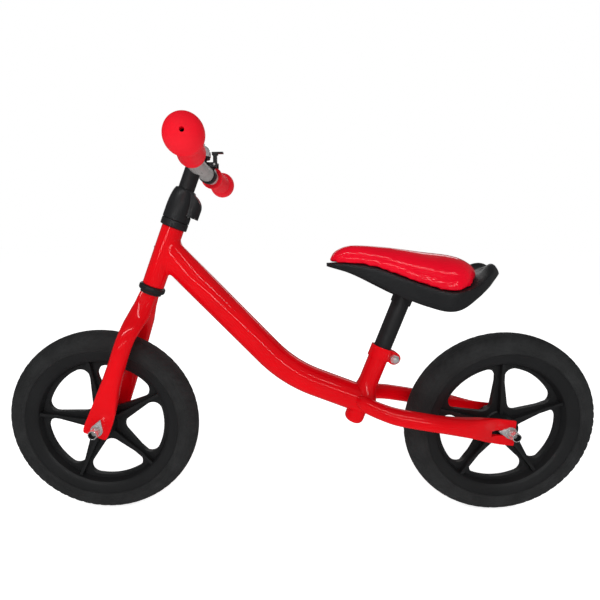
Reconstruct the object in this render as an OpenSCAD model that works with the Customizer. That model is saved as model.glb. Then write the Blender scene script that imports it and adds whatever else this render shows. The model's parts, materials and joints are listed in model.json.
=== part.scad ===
// Balance bike for a small child: steel frame, twelve-inch foam wheels, padded saddle.
// X points forwards, Y to the rider's left and Z up. The origin is on the ground,
// halfway between the two axles. Sizes are in millimetres, angles in degrees.

/* [Wheels] */
// Outer diameter of the tyre
wheel_d = 286; // [276:1:292]
// Width of the tyre
tyre_w = 40; // [36:1:42]
// Distance between the two axles
wheelbase = 605; // [595:1:620]
// Number of spokes in each wheel
spoke_count = 5; // [4:1:6]
// Radius of the seam between tyre and rim
seam_r = 115; // [112:1:118]
// Outer radius of the windows between the spokes
window_r = 90; // [84:1:92]
// Thickness of the spokes' web along the axle
web_t = 7; // [6:0.5:12]
// Width of the spokes along the axle at their central rib
rib_t = 20.6; // [16:0.2:22]

/* [Steering] */
// Backward lean of the steering axis from vertical
steer_tilt = 21.4; // [20:0.2:23]
// Outer diameter of the head tube
head_d = 31; // [30:0.5:33]
// Height of the head tube's lower end above the front axle, along the steering axis
head_low = 226; // [224:1:230]
// Height of the head tube's upper end above the front axle, along the steering axis
head_high = 314; // [308:1:316]
// Diameter of the fork legs where they are round
leg_d = 24; // [22:0.5:25]
// Width of the flattened lower end of the legs and stays
dropout_w = 39; // [35:1:40]

/* [Frame] */
// Diameter of the main tube
main_d = 42; // [36:0.5:43]
// Slope of the main tube's upper stretch below horizontal
main_steep = 45.5; // [43:0.5:48]
// Slope of the main tube's lower stretch below horizontal
main_shallow = 20.5; // [18:0.5:23]
// Bend radius of the main tube's centre line
main_bend = 200; // [160:5:220]
// Diameter of the seat tube
seat_d = 28.6; // [28:0.2:30]
// Backward lean of the seat tube from vertical
seat_tilt = 18.6; // [17:0.2:20]
// Diameter of the rear stays where they are round
stay_d = 24.6; // [22:0.2:25]

/* [Handlebar] */
// Diameter of the handlebar tube and of the stem tube
bar_d = 22.2; // [22:0.1:22.6]
// Backward sweep of each end of the handlebar
bar_sweep = 6.1; // [3:0.1:8]
// Diameter of the ball at each grip's end
bulb_d = 41.8; // [38:0.2:44]
// Distance of each ball's centre from the middle of the bike
bulb_y = 148.6; // [145:0.2:160]

/* [Saddle] */
// Diameter of the seatpost
post_d = 25.4; // [25:0.1:25.4]
// Length of the saddle from nose to tail
saddle_l = 246; // [245:1:256]
// Greatest width of the saddle
saddle_w = 129; // [120:1:140]

/* [Hidden] */

frame_red = "#d9040f";
grip_red = "#e61030";
pad_red = "#e50f2b";
tyre_black = "#232526";
rim_black = "#1b1c1e";
plastic_black = "#26262a";
tube_black = "#17181a";
chrome = "#d5d7da";
zinc = "#b9b4ac";
bar_silver = "#8f9390";

// Radial play of a shaft in its bush, and the gap between parts that pass each other
play = 0.08;
gap = 0.3;
tube_wall = 1.5;
// A bend's wall is this much thicker on both faces than the straight pipes it joins, and
// overlaps them by this angle
swell = 0.05;
overlap = 0.3;

// Wheel and axle hardware, as distances from the middle plane of the bike
wheel_r = wheel_d / 2;
axle_x = wheelbase / 2;
axle_r = 4;
bearing_r = 11;
bearing_w = 7;
hub_half = 25;
hub_r = 18;
drop_in = 29;
drop_out = 33;
drop_mid = (drop_in + drop_out) / 2;
washer_out = drop_out + 1.5;
nut_out = washer_out + 6.5;
sleeve_out = 48;
sleeve_r = 6.5;
spacer_r = 6.5;

// Levels along the steering axis, measured up from the front axle
bush_flange_h = 9.5;
bush_flange_r = 18.7;
race_top = head_low - bush_flange_h - gap;
race_h = 2.5;
fork_top = race_top - race_h;
steerer_r = 12.7;
steerer_top = 350;
cover_low = head_high + bush_flange_h + 1 + gap;
cover_top = 369;
lobe_low = 335;

// Handlebar and stem
bar_r = bar_d / 2;
bar_x = 150;
bar_z = 516.4;
bar_straight = 16;
bar_bend = 40;
bend_y = bar_straight + bar_bend * sin(bar_sweep);
bend_x = bar_x - bar_bend * (1 - cos(bar_sweep));
stem_low = 275;
bulb_s = (bulb_y - bend_y) / cos(bar_sweep);
grip_s = (75 - bend_y) / cos(bar_sweep);
bar_end_s = bulb_s + 8;

// Seat tube axis passes through this point, and levels on it are measured from there
seat_x = -113.6;
seat_z = 250;
seat_low = -111;
seat_high = 12;
clamp_low = -4;
clamp_high = 14;
socket_low = 83;

// Main tube: starts on the steering axis, ends on the seat tube axis
main_head_s = 281;
main_seat_s = -73;
main_start = [axle_x - main_head_s * sin(steer_tilt), wheel_r + main_head_s * cos(steer_tilt)];
main_end = [seat_x - main_seat_s * sin(seat_tilt), seat_z + main_seat_s * cos(seat_tilt)];
// The two straight stretches' lines cross at this point, in X and Z
main_cross = let (
    m = tan(main_steep),
    k = tan(main_shallow),
    x = (main_end[1] - main_start[1] + m * main_start[0] - k * main_end[0]) / (m - k))
    [x, main_start[1] + m * (x - main_start[0])];
main_tangent = main_bend * tan((main_steep - main_shallow) / 2);

// Saddle nose tip
saddle_nose_x = -31;

// ---------------------------------------------------------------- helpers

// Index of the table row that starts the interval holding x
function interval(t, x, i = 0) = (i >= len(t) - 2 || x <= t[i + 1][0]) ? i : interval(t, x, i + 1);
// Slope of the curve at row i of a table
function slope(t, i) =
    let (a = max(i - 1, 0), b = min(i + 1, len(t) - 1)) (t[b][1] - t[a][1]) / (t[b][0] - t[a][0]);
// Smooth curve through a table of [position, value] rows with rising positions
function smooth(t, x) =
    let (i = interval(t, x), h = t[i + 1][0] - t[i][0], u = min(max((x - t[i][0]) / h, 0), 1))
    (2 * pow(u, 3) - 3 * u * u + 1) * t[i][1] + (pow(u, 3) - 2 * u * u + u) * h * slope(t, i)
    + (3 * u * u - 2 * pow(u, 3)) * t[i + 1][1] + (pow(u, 3) - u * u) * h * slope(t, i + 1);
// Factor that rounds an end of length r, at distance d from its tip
function round_end(d, r) = d >= r ? 1 : sqrt(max(0, 1 - pow(1 - d / r, 2)));
// Point of a rounded box with half sizes a and b; power 2 is an ellipse, more is squarer
function oval(t, a, b, power) =
    [a * sign(cos(t)) * pow(abs(cos(t)), 2 / power), b * sign(sin(t)) * pow(abs(sin(t)), 2 / power)];

// Mean point of a ring
function middle(ring) = [for (k = [0 : 2]) [for (p = ring) p[k]] * [for (p = ring) 1] / len(ring)];

// Closed solid through a list of rings, each with the same number of points
module loft(rings) {
    n = len(rings[0]);
    m = len(rings);
    polyhedron(
        points = concat([for (ring = rings) each ring], [middle(rings[0]), middle(rings[m - 1])]),
        faces = concat(
            [for (i = [0 : n - 1]) [n * m, i, (i + 1) % n]],
            [for (j = [0 : m - 2]) for (i = [0 : n - 1])
                let (a = j * n + i, b = j * n + (i + 1) % n) each [[a, b + n, b], [a, a + n, b + n]]],
            [for (i = [0 : n - 1]) [n * m + 1, (m - 1) * n + (i + 1) % n, (m - 1) * n + i]]));
}

// Places children on the steering axis: origin at the front axle, Z up along the axis
module steering() translate([axle_x, 0, wheel_r]) rotate([0, -steer_tilt, 0]) children();

// Places children on the seat tube axis
module seat_axis() translate([seat_x, 0, seat_z]) rotate([0, -seat_tilt, 0]) children();

// Places children at the left end of the handlebar: Z outwards along the bar, Y down
module bar_left() translate([bend_x, bend_y, bar_z]) rotate([0, 0, bar_sweep]) rotate([-90, 0, 0])
    children();

module bar_right() mirror([0, 1, 0]) bar_left() children();

module both_sides() {
    children();
    mirror([0, 1, 0]) children();
}

// Cylinder along Y, from y0 to y1
module cross_rod(r, y0, y1) translate([0, y0, 0]) rotate([-90, 0, 0]) cylinder(r = r, h = y1 - y0);

// Turns a profile drawn as [radius, position along the axle] about the axle
module turned(steps = 96) rotate([-90, 0, 0]) rotate_extrude($fn = steps) children();

$fn = 48;

// ---------------------------------------------------------------- frame

// Straight pipe in the middle plane that slopes down backwards
module sloping_pipe(start, tilt, length, r, hole)
    translate([start[0], 0, start[1]]) rotate([0, -90 - tilt, 0]) difference() {
        cylinder(r = r, h = length);
        translate([0, 0, -1]) cylinder(r = hole, h = length + 2);
    }

// Directions of the main tube's two stretches, and the ends of its bend
steep = [cos(main_steep), sin(main_steep)];
shallow = [cos(main_shallow), sin(main_shallow)];
bend_start = main_cross + main_tangent * steep;
bend_end = main_cross - main_tangent * shallow;
bend_centre = bend_start + main_bend * [-steep[1], steep[0]];
past_seat = 5;

// The main tube's lower stretch as a solid rod, for cutting what is welded to it
module main_lower_rod() {
    before = 20;
    start = bend_end + before * shallow;
    translate([start[0], 0, start[1]]) rotate([0, -90 - main_shallow, 0])
        cylinder(d = main_d, h = norm(main_end - start) + past_seat);
}

module head_tube() color(frame_red) steering() difference() {
    translate([0, 0, head_low]) cylinder(d = head_d, h = head_high - head_low);
    translate([0, 0, head_low - 1]) cylinder(r = steerer_r + 1.2, h = head_high - head_low + 2);
}

module main_tube() color(frame_red) difference() {
    r = main_d / 2;
    union() {
        sloping_pipe(main_start, main_steep, norm(bend_start - main_start), r, r - tube_wall);
        translate([bend_centre[0], 0, bend_centre[1]]) rotate([90, 0, 0]) rotate([0, 0, main_shallow - 90])
            rotate([0, 0, -overlap]) rotate_extrude(angle = main_steep - main_shallow + 2 * overlap, $fn = 96)
                translate([main_bend, 0]) difference() {
                    circle(r = r + swell);
                    circle(r = r - tube_wall - swell);
                }
        sloping_pipe(bend_end, main_shallow, norm(main_end - bend_end) + past_seat, r, r - tube_wall);
    }
    steering() cylinder(d = head_d, h = steerer_top);
    seat_axis() translate([0, 0, -150]) cylinder(d = seat_d, h = 200);
}

module seat_tube() color(frame_red) seat_axis() difference() {
    union() {
        translate([0, 0, seat_low + seat_d / 2]) cylinder(d = seat_d, h = seat_high - seat_low - seat_d / 2);
        translate([0, 0, seat_low + seat_d / 2]) sphere(d = seat_d);
    }
    translate([0, 0, seat_low + seat_d / 2]) cylinder(r = post_d / 2 + play, h = 200);
}

// Weld that swells out where the seat tube stands on the main tube
module weld_cone() seat_axis() translate([0, 0, -64]) cylinder(r1 = 21, r2 = seat_d / 2, h = 26);

module seat_weld() color(frame_red) difference() {
    weld_cone();
    main_lower_rod();
    seat_axis() translate([0, 0, -100]) cylinder(d = seat_d, h = 120);
}

// Rear stay, by position along X: sideways place, height, half height and half thickness
stay_back = -310;
stay_front = -68;
stay_y = [[stay_back, drop_mid], [-296, drop_mid], [-289, drop_mid], [-279, 31.8], [-250, 41], [-205, 49.5],
    [-165, 51], [-130, 47.5], [-105, 35], [-85, 22], [stay_front, 13]];
stay_z = [[stay_back, 141.5], [-284, 144.5], [-262, 150], [-250, 153.5], [-205, 162.2], [-150, 171.2],
    [-120, 175.3], [-95, 180.5], [stay_front, 188]];
stay_a = [[stay_back, dropout_w / 2], [-304, dropout_w / 2], [-284, dropout_w / 2], [-262, 17.2],
    [-235, 14.2], [-205, stay_d / 2 + 0.4], [-180, stay_d / 2], [stay_front, stay_d / 2]];
stay_b = [[stay_back, 2], [-296, 2], [-284, 2], [-262, 5.5], [-235, 10], [-205, stay_d / 2 - 0.4],
    [-180, stay_d / 2], [-140, stay_d / 2], [-110, 13.5], [stay_front, stay_d / 2]];
stay_stops = [stay_back, -306, -300, -291, -284, -276, -268, -259, -248, -236, -220, -205, -188,
    -170, -155, -142, -131, -121, -112, -104, -96, -88, -79, stay_front];

// How square the flattened end is, by half thickness
function squareness(b, r) = 2 + 6 * (1 - (b - 2) / (r - 2));

function stay_ring(x, inset) =
    let (a = smooth(stay_a, x) - inset, b = smooth(stay_b, x) - inset, p = squareness(b + inset, stay_d / 2))
    [for (i = [0 : 23]) let (o = oval(i * 15, a, b, min(max(p, 2), 8)))
        [x, smooth(stay_y, x) - o[1], smooth(stay_z, x) + o[0]]];

module stay() color(frame_red) difference() {
    loft([for (x = stay_stops) stay_ring(x, 0)]);
    loft([for (x = stay_stops) if (x > -245 && x < -75) stay_ring(x, tube_wall)]);
    main_lower_rod();
    seat_axis() translate([0, 0, seat_low]) cylinder(d = seat_d, h = seat_high - seat_low);
    weld_cone();
    // Axle slot, open to the rear
    translate([-axle_x, 0, wheel_r]) cross_rod(axle_r + 0.2, drop_in - 5, drop_out + 5);
    translate([-axle_x - 30, drop_in - 5, wheel_r - axle_r - 0.2]) cube([30, 14, 2 * axle_r + 0.4]);
}

module left_stay() stay();

module right_stay() mirror([0, 1, 0]) stay();

// Seat clamp: a split collar with two ears behind it
ear_x = -20.5;
ear_z = 3.5;
ear_r = 9.5;
collar_r = seat_d / 2 + 1.9;

module seat_clamp() color(frame_red) seat_axis() difference() {
    union() {
        translate([0, 0, clamp_low]) cylinder(r = collar_r, h = clamp_high - clamp_low);
        translate([ear_x, 0, ear_z]) cross_rod(ear_r, -7.5, 7.5);
        translate([ear_x, -7.5, clamp_low + 0.5]) cube([18, 15, clamp_high - clamp_low - 1.5]);
    }
    translate([0, 0, clamp_low - 10]) cylinder(d = seat_d, h = seat_high - clamp_low + 10);
    translate([0, 0, 0]) cylinder(r = post_d / 2 + gap, h = 30);
    translate([-40, -1.5, clamp_low - 10]) cube([40, 3, 40]);
    translate([ear_x, 0, ear_z]) cross_rod(3, -10, 10);
}

module seat_clamp_bolt() color(chrome) seat_axis() translate([ear_x, 0, ear_z]) {
    cross_rod(3, -12, 8);
    // Domed nut on the left
    translate([0, 7.5, 0]) rotate([-90, 0, 0]) cylinder(r = 6.9, h = 5, $fn = 6);
    intersection() {
        translate([0, 12.5, 0]) sphere(r = 5.6);
        cross_rod(6, 12.5, 20);
    }
    // Button head on the right
    difference() {
        cross_rod(6, -13, -7.5);
        translate([0, -14, 0]) rotate([-90, 0, 0]) cylinder(r = 2.9, h = 3.5, $fn = 6);
    }
}

// Headset bush: flange outside the head tube, sleeve inside it, both open to the steerer
module bush(flange_low, flange_high, sleeve_low, sleeve_high) rotate_extrude($fn = 64) difference() {
    union() {
        polygon([[13.4, flange_low], [bush_flange_r - 1.2, flange_low], [bush_flange_r, flange_low + 1.2],
            [bush_flange_r, flange_high - 1.2], [bush_flange_r - 1.2, flange_high], [13.4, flange_high]]);
        translate([12.5, sleeve_low]) square([steerer_r + 1.2 - 12.5, sleeve_high - sleeve_low]);
        translate([12.5, flange_low]) square([2, flange_high - flange_low]);
    }
    translate([0, sleeve_low - 50]) square([steerer_r + play, 200]);
}

module lower_headset_bush() color(plastic_black) steering()
    bush(head_low - bush_flange_h, head_low, head_low - 1, head_low + 14);

module upper_headset_bush() color(plastic_black) steering()
    bush(head_high, head_high + bush_flange_h + 1, head_high - 14, head_high + 1);

// ---------------------------------------------------------------- axle hardware

module axle() color(zinc) cross_rod(axle_r, -nut_out - 1, nut_out + 1);

module spacers() color(zinc) both_sides() difference() {
    cross_rod(spacer_r, hub_half + gap, drop_in);
    cross_rod(axle_r, hub_half, drop_in + 1);
}

// Tab washer: round plate with one pointed tip at the distance tip_l along X
washer_r = 9;
tip_l = 18.5;

module tab_washers() color(chrome) both_sides() difference() {
    translate([0, washer_out, 0]) rotate([90, 0, 0]) linear_extrude(height = washer_out - drop_out) {
        touch = acos(washer_r / tip_l);
        circle(r = washer_r);
        polygon([[tip_l, 0], washer_r * [cos(touch), sin(touch)], [0, 0],
            washer_r * [cos(touch), -sin(touch)]]);
    }
    cross_rod(axle_r, drop_out - 1, washer_out + 1);
}

module axle_nuts() color(zinc) both_sides() difference() {
    translate([0, washer_out, 0]) rotate([-90, 0, 0]) cylinder(r = 7.5, h = nut_out - washer_out, $fn = 6);
    cross_rod(axle_r, washer_out - 1, nut_out + 1);
}

module axle_sleeves() color(chrome) both_sides() difference() {
    cross_rod(sleeve_r, nut_out, sleeve_out);
    cross_rod(5.3, nut_out + 2, sleeve_out + 1);
    cross_rod(axle_r, nut_out - 1, nut_out + 3);
}

module at_front() translate([axle_x, 0, wheel_r]) children();

module at_rear() translate([-axle_x, 0, wheel_r]) children();

// The tips point up along the fork legs in front, and forwards along the stays behind
module front_axle() at_front() axle();
module front_axle_spacers() at_front() spacers();
module front_tab_washers() at_front() rotate([0, -90 - steer_tilt, 0]) tab_washers();
module front_axle_nuts() at_front() axle_nuts();
module front_axle_sleeves() at_front() axle_sleeves();
module rear_axle() at_rear() axle();
module rear_axle_spacers() at_rear() spacers();
module rear_tab_washers() at_rear() rotate([0, -8, 0]) tab_washers();
module rear_axle_nuts() at_rear() axle_nuts();
module rear_axle_sleeves() at_rear() axle_sleeves();

// ---------------------------------------------------------------- fork

module fork_steerer() color(frame_red) steering() translate([0, 0, fork_top]) difference() {
    cylinder(r = steerer_r, h = steerer_top - fork_top);
    translate([0, 0, -1]) cylinder(r = bar_r + play, h = steerer_top - fork_top + 2);
}

module crown_race() color(tube_black) steering() translate([0, 0, fork_top]) difference() {
    cylinder(r = 15, h = race_h);
    translate([0, 0, -1]) cylinder(r = steerer_r, h = race_h + 2);
}

// Fork leg, by height along the steering axis: sideways place, half width and half thickness
leg_low = -11;
leg_y = [[leg_low, drop_mid], [9, drop_mid], [22, drop_mid], [55, 35.5], [90, 40.5], [125, 42], [148, 38.5],
    [166, 28.5], [180, 15], [192, 10], [fork_top, 4.5]];
leg_x = [[leg_low, 1], [40, 0], [110, 0.5], [150, 1.8], [185, 1.4], [fork_top, 1]];
leg_a = [[leg_low, dropout_w / 2 - 3], [-5, dropout_w / 2 - 0.8], [18, dropout_w / 2 - 1], [50, 15.8],
    [80, 13.2], [110, leg_d / 2], [150, leg_d / 2], [180, 14.2], [196, 13], [fork_top, 11.4]];
leg_b = [[leg_low, 2], [9, 2], [20, 2], [45, 5.5], [75, 10.2], [110, leg_d / 2], [150, leg_d / 2],
    [166, 12.8], [180, 15.1], [192, 13], [fork_top, 8.5]];
leg_stops = [leg_low, -8, -2, 8, 20, 30, 40, 52, 66, 82, 98, 115, 132, 145, 154, 162, 169, 175, 181, 188,
    196, 205, fork_top];

function leg_ring(s, inset) =
    let (a = smooth(leg_a, s) - inset, b = smooth(leg_b, s) - inset, p = squareness(b + inset, leg_d / 2))
    [for (i = [0 : 23]) let (o = oval(i * 15, a, b, min(max(p, 2), 8)))
        [smooth(leg_x, s) + o[0], smooth(leg_y, s) + o[1], s]];

module fork_leg() color(frame_red) steering() difference() {
    loft([for (s = leg_stops) leg_ring(s, 0)]);
    loft([for (s = leg_stops) if (s > 60 && s < 165) leg_ring(s, tube_wall)]);
    translate([-50, -60, 100]) cube([100, 60, 200]);
    // Axle slot, open downwards
    cross_rod(axle_r + 0.2, drop_in - 5, drop_out + 5);
    translate([-axle_r - 0.2, drop_in - 5, -30]) cube([2 * axle_r + 0.4, 14, 30]);
}

module left_fork_leg() fork_leg();

module right_fork_leg() mirror([0, 1, 0]) fork_leg();

// Stem clamp on the top of the steerer, hidden in the stem cover's rear lobe
clamp_s = 330;
clamp_h = 17;
clamp_bolt_x = -19.5;

module stem_clamp() color(zinc) steering() difference() {
    union() {
        translate([0, 0, clamp_s]) cylinder(r = 15.6, h = clamp_h);
        translate([clamp_bolt_x - 4.5, -5, clamp_s + 6]) cube([18, 10, clamp_h - 6]);
    }
    translate([0, 0, clamp_s - 1]) cylinder(r = steerer_r, h = clamp_h + 2);
    translate([-30, -1, clamp_s - 1]) cube([30, 2, clamp_h + 2]);
    translate([clamp_bolt_x, 0, clamp_s + 11.5]) cross_rod(2.5, -10, 10);
}

module stem_clamp_bolt() color(chrome) steering() translate([clamp_bolt_x, 0, clamp_s + 11.5]) {
    cross_rod(2.5, -5, 5);
    cross_rod(4, 5, 7);
    translate([0, -7.2, 0]) rotate([-90, 0, 0]) cylinder(r = 4.2, h = 2.2, $fn = 6);
}

// Stem cover: a bell with elliptic shoulders, and a rear lobe over the clamp's ears
module cover_shape(inset) {
    shoulder = 336;
    top = cover_top - inset;
    base_r = bush_flange_r - inset;
    neck_r = 12.6 - inset;
    rotate_extrude($fn = 64) polygon(concat(
        [[0, cover_low], [base_r, cover_low]],
        [for (i = [0 : 12])
            [neck_r + (base_r - neck_r) * cos(i * 7.5), shoulder + (top - shoulder) * sin(i * 7.5)]],
        [[0, top]]));
    // Side outline of the lobe, kept inside a round-ended plan
    half = 11.5 - inset;
    reach = 29 - inset;
    intersection() {
        rotate([90, 0, 0]) translate([0, 0, -20]) linear_extrude(height = 40) polygon(concat(
            [[0, lobe_low], [-reach, lobe_low]],
            [for (i = [0 : 12]) [-reach * cos(i * 7.5), 346 + (top - 346) * sin(i * 7.5)]]));
        linear_extrude(height = 400) {
            translate([half - reach, 0]) circle(r = half);
            translate([half - reach, -half]) square([reach - half, 2 * half]);
        }
    }
}

module stem_cover() color(plastic_black) steering() difference() {
    cover_shape(0);
    difference() {
        cover_shape(2);
        translate([0, 0, cover_top - 2]) cylinder(r = 50, h = 10);
    }
    translate([0, 0, cover_low - 1]) cylinder(r = bush_flange_r - 2, h = 3);
    translate([0, 0, 300]) cylinder(r = bar_r + gap, h = 100);
    // The lobe is open below
    translate([-26.5, -9, lobe_low - 1]) cube([18, 18, 3]);
}

// ---------------------------------------------------------------- handlebar

module pipe_section(extra) difference() {
    circle(r = bar_r + extra);
    circle(r = bar_r - tube_wall - extra);
}

// Handlebar: straight middle, two bends and two swept ends
module handlebar() color(bar_silver) {
    translate([bar_x, 0, bar_z]) rotate([90, 0, 0]) linear_extrude(height = 2 * bar_straight, center = true)
        pipe_section(0);
    both_sides() {
        bar_left() linear_extrude(height = bar_end_s) pipe_section(0);
        translate([bar_x - bar_bend, bar_straight, bar_z]) rotate([0, 0, -overlap])
            rotate_extrude(angle = bar_sweep + 2 * overlap, $fn = 96) translate([bar_bend, 0])
                pipe_section(swell);
    }
}

// Stem: a tube that slides in the steerer, its top hollowed to fit the handlebar it is welded to
module stem_tube() color(tube_black) difference() {
    steering() translate([0, 0, stem_low]) cylinder(r = bar_r, h = 400 - stem_low);
    steering() translate([0, 0, stem_low - 1]) cylinder(r = bar_r - tube_wall, h = 386 - stem_low);
    translate([bar_x, 0, bar_z]) cross_rod(bar_r, -20, 20);
}

// Grip: inner flange, waisted hand part and a ball at the outer end with a vent hole
module grip() {
    ball_r = bulb_d / 2;
    neck_r = 15.6;
    rim_r = 16.9;
    // Half lengths of the ball towards the hand and towards the outer end
    inward = 18.6;
    outward = 16;
    ball_angle = asin(neck_r / ball_r);
    profile = concat(
        [[bar_r, grip_s], [rim_r - 1.5, grip_s]],
        [for (i = [0 : 6]) [rim_r - 1.5 + 1.5 * sin(i * 15), grip_s + 1.5 - 1.5 * cos(i * 15)]],
        [[rim_r, grip_s + 4]],
        [for (i = [1 : 6]) [neck_r + (rim_r - neck_r) * (0.5 + 0.5 * cos(i * 30)), grip_s + 4 + i * 1.5]],
        [for (i = [0 : 17]) let (t = 180 - ball_angle - i * (174 - ball_angle) / 17)
            [ball_r * sin(t), bulb_s + (t > 90 ? inward : outward) * cos(t)]],
        [[2.5, bar_end_s], [bar_r, bar_end_s]]);
    color(grip_red) rotate_extrude($fn = 64) polygon(profile);
}

module left_grip() bar_left() grip();

module right_grip() bar_right() grip();

// Bell on the right of the bar. Its parts stand on this point of the bar
bell_s = 24;
bell_low = 23;
dome_r = 11.5;
dome_h = 5;
dome_x = 4;
lever_x = -12;
lever_s = 33;
pivot_up = 14;

// Clamp band round the bar, arm to the plate under the dome, and two ears for the lever
module bell_base() color(plastic_black) bar_right() difference() {
    union() {
        translate([0, 0, lever_s - 6]) cylinder(r = bar_r + 2, h = 12);
        translate([dome_x, -bell_low + 3, bell_s]) rotate([90, 0, 0]) cylinder(r = dome_r - 1, h = 3);
        translate([dome_x, 0, bell_s]) rotate([90, 0, 0]) cylinder(r = 5.6, h = bell_low - 3);
        translate([-4, -17, lever_s - 6]) cube([10, 10, 12]);
        translate([lever_x - 4, -pivot_up - 2.8, lever_s - 6]) cube([18, 7.3, 12]);
    }
    translate([0, 0, -50]) cylinder(r = bar_r, h = 150);
    // Room for the lever's foot between the ears
    translate([lever_x - 10, -pivot_up - 10, lever_s - 3.3]) cube([16, 16, 6.6]);
    translate([lever_x, -pivot_up, lever_s - 20]) cylinder(r = 1.5, h = 40);
    translate([dome_x, -bell_low + 8, bell_s]) rotate([90, 0, 0]) cylinder(r = 1.5, h = 20);
}

module bell_dome() color(chrome) bar_right() translate([dome_x, -bell_low, bell_s]) rotate([90, 0, 0])
    difference() {
        union() {
            cylinder(r = dome_r, h = dome_h);
            translate([0, 0, dome_h]) sphere(r = dome_r);
        }
        translate([0, 0, -1]) cylinder(r = dome_r - 1.2, h = dome_h + 1);
        translate([0, 0, dome_h]) sphere(r = dome_r - 1.2);
        translate([0, 0, -30]) cylinder(r = 30, h = 30);
        cylinder(r = 1.5, h = 40);
        // Slot in the rear of the dome
        translate([-17, -1.5, 2]) cube([10, 3, 5]);
    }

module bell_screw() color(zinc) bar_right() translate([dome_x, -bell_low, bell_s]) rotate([90, 0, 0]) {
    translate([0, 0, -5.5]) cylinder(r = 1.5, h = dome_h + dome_r + 6.5);
    difference() {
        translate([0, 0, dome_h + dome_r - 1]) cylinder(r = 3.2, h = 3);
        translate([0, 0, dome_h]) sphere(r = dome_r);
    }
}

module bell_lever_pin() color(zinc) bar_right() translate([lever_x, -pivot_up, lever_s - 6])
    cylinder(r = 1.5, h = 12);

// Thumb lever: round foot on the pin, upright post and a crossbar that sounds the dome
module bell_lever() color(plastic_black) bar_right() translate([lever_x, -pivot_up, lever_s]) difference() {
    union() {
        translate([0, 0, -3]) cylinder(r = 3.6, h = 6);
        translate([-2.6, -17, -3]) cube([5.2, 15, 6]);
        translate([-12.5, -18, -3]) cube([17, 2.4, 6]);
        translate([-4.2, -18, -3]) cube([8.4, 4.4, 6]);
    }
    translate([0, 0, -10]) cylinder(r = 1.5 + play, h = 20);
}

// ---------------------------------------------------------------- wheels

module tyre() color(tyre_black) turned() {
    section_r = tyre_w / 2;
    intersection() {
        translate([wheel_r - section_r, 0]) circle(r = section_r, $fn = 64);
        translate([seam_r, -30]) square([60, 60]);
    }
    translate([seam_r - 10, -12]) square([12, 24]);
}

// Window between two spokes: a wedge with rounded corners, closed by an arc about the axle.
// The corner circles' centres are at inner_x on the window's axis and at outer either side.
window_apex = 23.6;
window_corner = 13.5;
half_angle = 180 / spoke_count + 8.5;
inner_x = window_apex + window_corner / sin(half_angle);
reach_out = sqrt(pow(window_r - window_corner, 2) - pow(inner_x * sin(half_angle), 2))
    - inner_x * cos(half_angle);
outer = [inner_x + reach_out * cos(half_angle), reach_out * sin(half_angle)];

module window_outline() {
    side = window_corner * [-sin(half_angle), cos(half_angle)];
    translate([inner_x, 0]) circle(r = window_corner);
    for (k = [1, -1]) {
        translate([outer[0], k * outer[1]]) circle(r = window_corner);
        polygon([[inner_x, 0], [inner_x + side[0], k * side[1]],
            [outer[0] + side[0], k * (outer[1] + side[1])], [outer[0], k * outer[1]], [outer[0], 0]]);
    }
    intersection() {
        circle(r = window_r, $fn = 96);
        polygon([[inner_x, 0], outer, 1.5 * outer, [1.5 * outer[0], -1.5 * outer[1]], [outer[0], -outer[1]]]);
    }
}

module rim(first_spoke) color(rim_black) difference() {
    union() {
        turned() {
            half = [[0, hub_half], [hub_r - 1.5, hub_half], [hub_r, hub_half - 1.5],
                [hub_r + 1, web_t / 2 + 2],
                [hub_r + 3, web_t / 2], [window_r + 5, web_t / 2], [window_r + 8, 12], [window_r + 10, 13.4],
                [seam_r - 13, 14.6], [seam_r - 2.5, 17.2], [seam_r, 16.6], [seam_r, 12], [seam_r - 10, 12]];
            polygon(concat(half, [for (i = [len(half) - 1 : -1 : 0]) [half[i][0], -half[i][1]]]));
        }
        // A raised rib along each spoke, on both faces
        for (i = [0 : spoke_count - 1]) rotate([0, -first_spoke - i * 360 / spoke_count, 0])
            translate([hub_r - 2, -rib_t / 2, -2.3]) cube([window_r + 9 - hub_r, rib_t, 4.6]);
    }
    for (i = [0 : spoke_count - 1]) rotate([0, -first_spoke - (i + 0.5) * 360 / spoke_count, 0])
        rotate([90, 0, 0]) translate([0, 0, -30]) linear_extrude(height = 60) window_outline();
    cross_rod(spacer_r, -hub_half - 1, hub_half + 1);
    both_sides() cross_rod(bearing_r, hub_half - bearing_w, hub_half + 1);
}

// Sealed ball bearing, drawn as one ring with a recessed shield on each face
module bearings() color(zinc) both_sides() translate([0, hub_half - bearing_w, 0]) turned(64) {
    inner = axle_r + play;
    polygon([[inner, 0], [6, 0], [6, 0.5], [9.3, 0.5], [9.3, 0], [bearing_r, 0],
        [bearing_r, bearing_w], [9.3, bearing_w], [9.3, bearing_w - 0.5], [6, bearing_w - 0.5],
        [6, bearing_w], [inner, bearing_w]]);
}

module front_tyre() at_front() tyre();
module front_rim() at_front() rim(7.7);
module front_bearings() at_front() bearings();
module rear_tyre() at_rear() tyre();
module rear_rim() at_rear() rim(86.5);
module rear_bearings() at_rear() bearings();

// ---------------------------------------------------------------- saddle

module seatpost() color(tube_black) seat_axis() difference() {
    translate([0, 0, -60]) cylinder(d = post_d, h = 160);
    translate([0, 0, -61]) cylinder(d = post_d - 2 * tube_wall, h = 159);
}

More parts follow.
